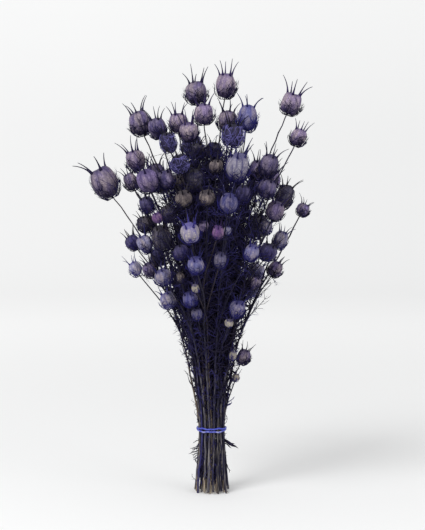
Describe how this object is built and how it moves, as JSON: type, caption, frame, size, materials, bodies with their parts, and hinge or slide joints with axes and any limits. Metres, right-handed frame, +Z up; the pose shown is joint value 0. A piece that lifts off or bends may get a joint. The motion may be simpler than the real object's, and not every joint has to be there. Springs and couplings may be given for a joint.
{
  "type": "tied bunch of dried nigella seed pods",
  "caption": "Bunch of dried, dyed nigella seed pods with horns and thread-like bracts on branching stems, held by a rubber band and standing on its level cut ends.",
  "frame": {"origin": "on the surface, under the middle of the bunch's outline", "axes": "+Z up along the bunch, +X to the right seen from the front, front towards -Y"},
  "size_m": [0.271, 0.2572, 0.5008],
  "materials": {
    "mauve": "dried, dyed dusty mauve, matt",
    "plum": "dried, dyed plum, matt",
    "violet": "dried, dyed deep violet, matt",
    "blue": "dried, dyed blue-violet, matt",
    "lavender": "dried, dyed pale lavender, matt",
    "cream": "dried, almost undyed cream, matt",
    "pink": "dried, dyed pink-mauve, matt",
    "tan": "dried, undyed tan, matt",
    "dark": "dried, dyed near-black violet, matt",
    "band": "smooth ultramarine rubber"
  },
  "bodies": {
    "root": {"stem_01": "mauve", "stem_02": "plum", "stem_03": "mauve", "stem_04": "mauve", "stem_05": "blue", "stem_06": "plum", "stem_07": "plum", "stem_08": "mauve", "stem_09": "plum", "stem_10": "violet", "stem_11": "mauve", "stem_12": "mauve", "stem_13": "violet", "stem_14": "mauve", "stem_15": "violet", "stem_16": "mauve", "stem_17": "dark", "stem_18": "plum", "stem_19": "lavender", "stem_20": "dark", "stem_21": "violet", "stem_22": "plum", "stem_23": "lavender", "stem_24": "mauve", "stem_25": "violet", "stem_26": "mauve", "stem_27": "plum", "stem_28": "plum", "stem_29": "tan", "stem_30": "dark", "stem_31": "plum", "stem_32": "plum", "stem_33": "plum", "stem_34": "plum", "stem_35": "plum", "stem_36": "tan", "stem_37": "blue", "stem_38": "dark", "stem_39": "violet", "stem_40": "tan", "stem_41": "tan", "stem_42": "blue", "stem_43": "tan", "stem_44": "mauve", "stem_45": "violet", "stem_46": "dark", "stem_47": "plum", "stem_48": "cream", "stem_49": "dark", "stem_50": "cream", "stem_51": "dark", "stem_52": "dark", "stem_53": "pink", "stem_54": "pink", "stem_55": "mauve", "band": "band"}
  },
  "joints": []
}
